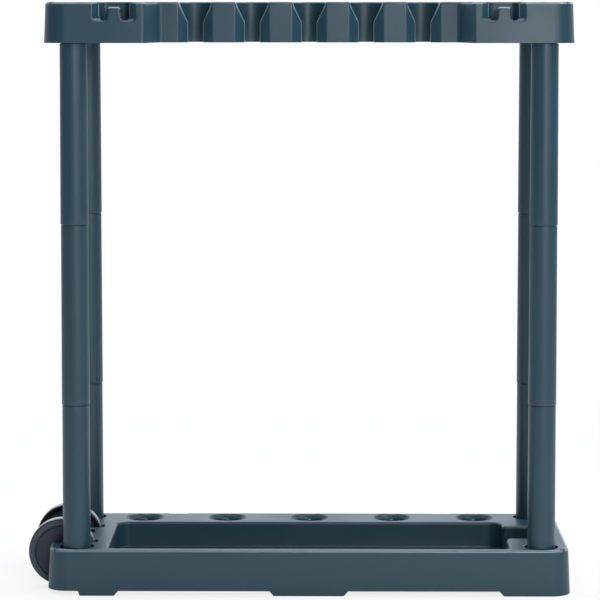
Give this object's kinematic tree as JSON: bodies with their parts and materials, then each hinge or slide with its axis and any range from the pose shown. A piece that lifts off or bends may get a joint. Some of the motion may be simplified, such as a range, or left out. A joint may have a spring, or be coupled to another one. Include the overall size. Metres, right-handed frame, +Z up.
{
  "type": "garden tool rack",
  "caption": "Free-standing garden tool rack: moulded base with trough and cups, four tube posts, slotted top with double hooks, and two wheels at one end.",
  "frame": {"origin": "middle of the whole rack's footprint on the floor, so the base's own middle lies at +X by half the wheels' overhang", "axes": "+X along the rack, away from the wheels; +Y from the front to the back; +Z up"},
  "size_m": [0.682, 0.25, 0.738],
  "materials": {
    "body_plastic": "satin moulded resin",
    "wheel_plastic": "fine moulded grain",
    "tyre_vinyl": "smooth soft vinyl",
    "axle_steel": "drawn, zinc plated"
  },
  "bodies": {
    "rack": {"base_shell": "body_plastic", "top_tray": "body_plastic", "front_left_lower_tube": "body_plastic", "front_left_middle_tube": "body_plastic", "front_left_upper_tube": "body_plastic", "rear_left_lower_tube": "body_plastic", "rear_left_middle_tube": "body_plastic", "rear_left_upper_tube": "body_plastic", "front_right_lower_tube": "body_plastic", "front_right_middle_tube": "body_plastic", "front_right_upper_tube": "body_plastic", "rear_right_lower_tube": "body_plastic", "rear_right_middle_tube": "body_plastic", "rear_right_upper_tube": "body_plastic", "axle": "axle_steel", "front_push_nut": "axle_steel", "rear_push_nut": "axle_steel"},
    "front_wheel": {"front_wheel_disc": "wheel_plastic", "front_wheel_tyre": "tyre_vinyl"},
    "rear_wheel": {"rear_wheel_disc": "wheel_plastic", "rear_wheel_tyre": "tyre_vinyl"}
  },
  "joints": [
    {"name": "front_wheel_spin", "type": "hinge", "parent": "rack", "child": "front_wheel", "pos_m": [-0.2985, -0.06525, 0.0449], "axis": [0, 1, 0], "continuous": true},
    {"name": "rear_wheel_spin", "type": "hinge", "parent": "rack", "child": "rear_wheel", "pos_m": [-0.2985, 0.03375, 0.0449], "axis": [0, 1, 0], "continuous": true}
  ]
}
